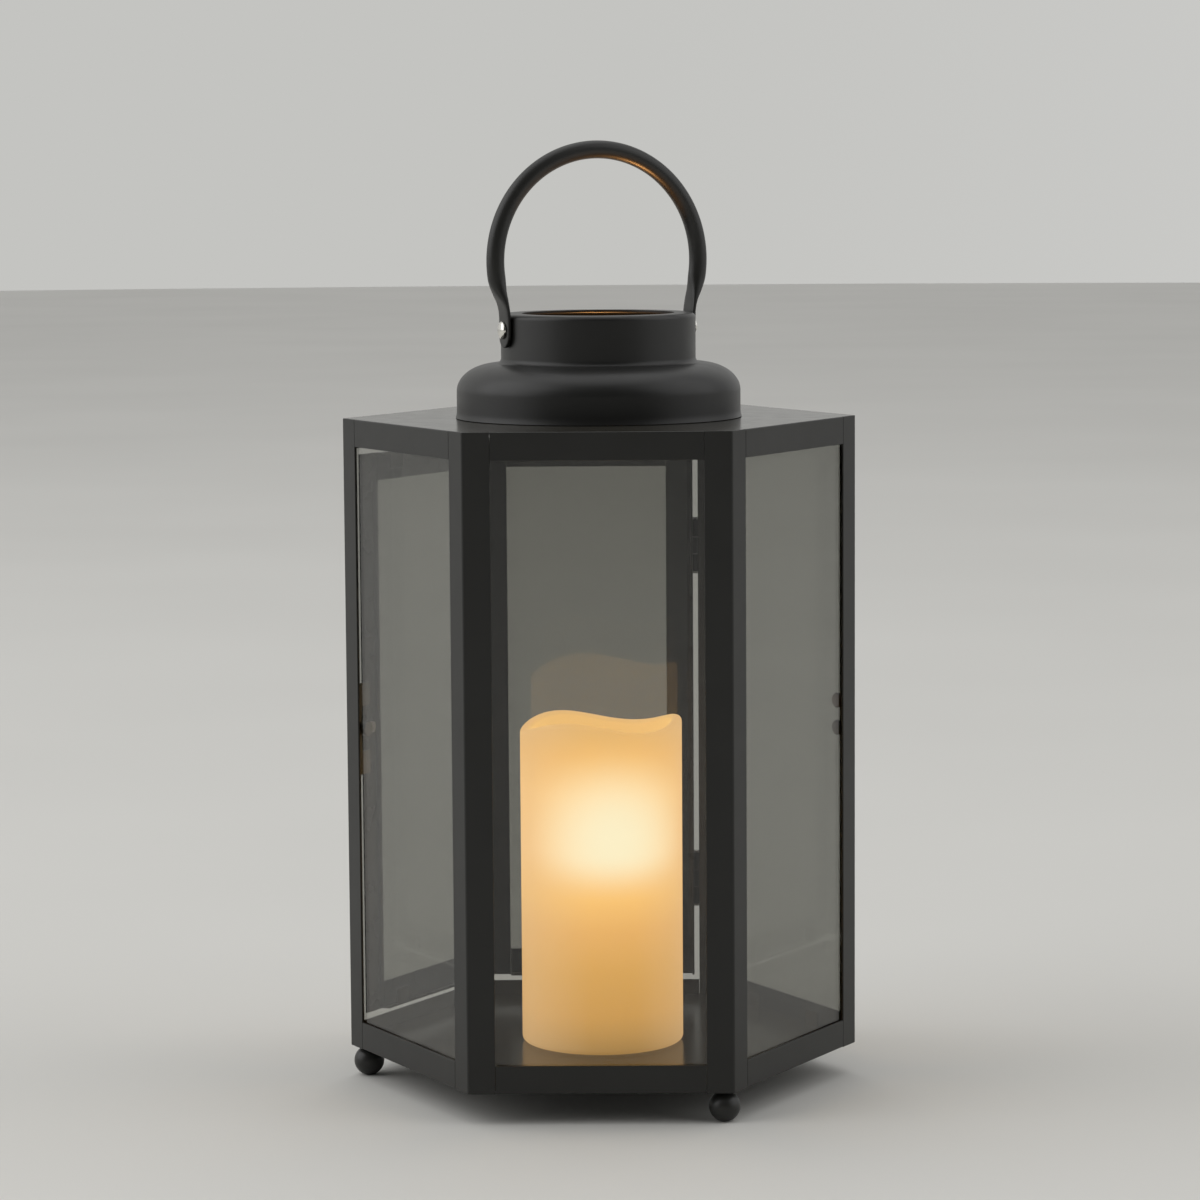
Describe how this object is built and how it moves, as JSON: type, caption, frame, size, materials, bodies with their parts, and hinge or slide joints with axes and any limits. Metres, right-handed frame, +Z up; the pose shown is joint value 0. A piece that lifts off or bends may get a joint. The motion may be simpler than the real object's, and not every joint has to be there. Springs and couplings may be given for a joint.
{
  "type": "solar lantern",
  "caption": "Hexagonal glazed metal lantern on ball feet with an open collar, swinging handle, hinged two-panel door and a rechargeable solar candle inside.",
  "frame": {"origin": "on the ground, on the axis of the hexagon", "axes": "+Z up, -Y towards the front pane, +X to its right; the door is at the back and back left"},
  "size_m": [0.236, 0.2087, 0.4339],
  "materials": {
    "frame_paint": "fine satin anthracite powder coat",
    "collar_paint": "satin anthracite coat on spun sheet",
    "handle_paint": "satin anthracite coat on bent tube",
    "foot_paint": "satin anthracite coat on turned steel",
    "pane_glass": "clear, with polished surfaces",
    "rivet_metal": "bright nickel",
    "pin_steel": "zinc plated",
    "hinge_paint": "black",
    "catch_steel": "zinc plated",
    "knob_paint": "satin anthracite coat on turned brass",
    "wax": "ivory wax, translucent, with a satin surface",
    "housing_plastic": "ivory moulded plastic",
    "switch_plastic": "black moulded plastic",
    "cell_sleeve": "shrink sleeve",
    "board": "solder mask on laminate",
    "led_lens": "milky moulded lens",
    "bezel_plastic": "ivory moulded plastic",
    "silicon": "dark blue coated silicon",
    "clear_cover": "clear moulded acrylic",
    "lead_sleeve": "soft flexible sleeve"
  },
  "bodies": {
    "lantern": {"bottom_rail_back_right": "frame_paint", "bottom_rail_front": "frame_paint", "bottom_rail_front_left": "frame_paint", "bottom_rail_front_right": "frame_paint", "catch_bracket": "catch_steel", "collar": "collar_paint", "floor_plate": "frame_paint", "foot_back_right": "foot_paint", "foot_front_right": "foot_paint", "foot_left": "foot_paint", "handle_rivet_left": "rivet_metal", "handle_rivet_right": "rivet_metal", "header_back": "frame_paint", "header_back_left": "frame_paint", "hinge_pin_lower": "pin_steel", "hinge_pin_upper": "pin_steel", "hinge_post_leaf_lower": "hinge_paint", "hinge_post_leaf_upper": "hinge_paint", "pane_back_right": "pane_glass", "pane_front": "pane_glass", "pane_front_left": "pane_glass", "pane_front_right": "pane_glass", "post_back_right": "frame_paint", "post_front_left": "frame_paint", "post_front_right": "frame_paint", "post_left": "frame_paint", "post_right": "frame_paint", "roof_plate": "frame_paint", "sill_back": "frame_paint", "sill_back_left": "frame_paint", "top_rail_back_right": "frame_paint", "top_rail_front": "frame_paint", "top_rail_front_left": "frame_paint", "top_rail_front_right": "frame_paint"},
    "handle": {"handle": "handle_paint"},
    "door": {"door_bottom_rail_back": "frame_paint", "door_bottom_rail_back_left": "frame_paint", "door_corner_post": "frame_paint", "door_hinge_stile": "frame_paint", "door_knob": "knob_paint", "door_latch_stile": "frame_paint", "door_pane_back": "pane_glass", "door_pane_back_left": "pane_glass", "door_top_rail_back": "frame_paint", "door_top_rail_back_left": "frame_paint", "hinge_door_leaf_lower": "hinge_paint", "hinge_door_leaf_upper": "hinge_paint"},
    "candle": {"candle_wax": "wax", "battery_housing": "housing_plastic", "battery_a": "cell_sleeve", "battery_b": "cell_sleeve", "led_board": "board", "led": "led_lens", "solar_bezel": "bezel_plastic", "solar_cell": "silicon", "solar_cover": "clear_cover", "charge_lead": "lead_sleeve"},
    "battery_cover": {"battery_cover": "housing_plastic"},
    "switch": {"slide_switch": "switch_plastic"}
  },
  "joints": [
    {"name": "handle_swing", "type": "hinge", "parent": "lantern", "child": "handle", "pos_m": [0, 0, 0.34831], "axis": [0.9157, 0.4019, 0], "range_deg": [-100, 100]},
    {"name": "door_swing", "type": "hinge", "parent": "lantern", "child": "door", "pos_m": [0.04555, 0.10449, 0.16401], "axis": [0, 0, -1], "range_deg": [0, 110]},
    {"name": "candle_lift", "type": "slide", "parent": "lantern", "child": "candle", "axis": [0, 0, 1], "range_m": [0, 0.12]},
    {"name": "battery_cover_turn", "type": "hinge", "parent": "candle", "child": "battery_cover", "pos_m": [0, 0, 0.01761], "axis": [0, 0, 1], "range_deg": [0, 35]},
    {"name": "switch_slide", "type": "slide", "parent": "candle", "child": "switch", "axis": [0, 1, 0], "range_m": [0, 0.005]}
  ]
}
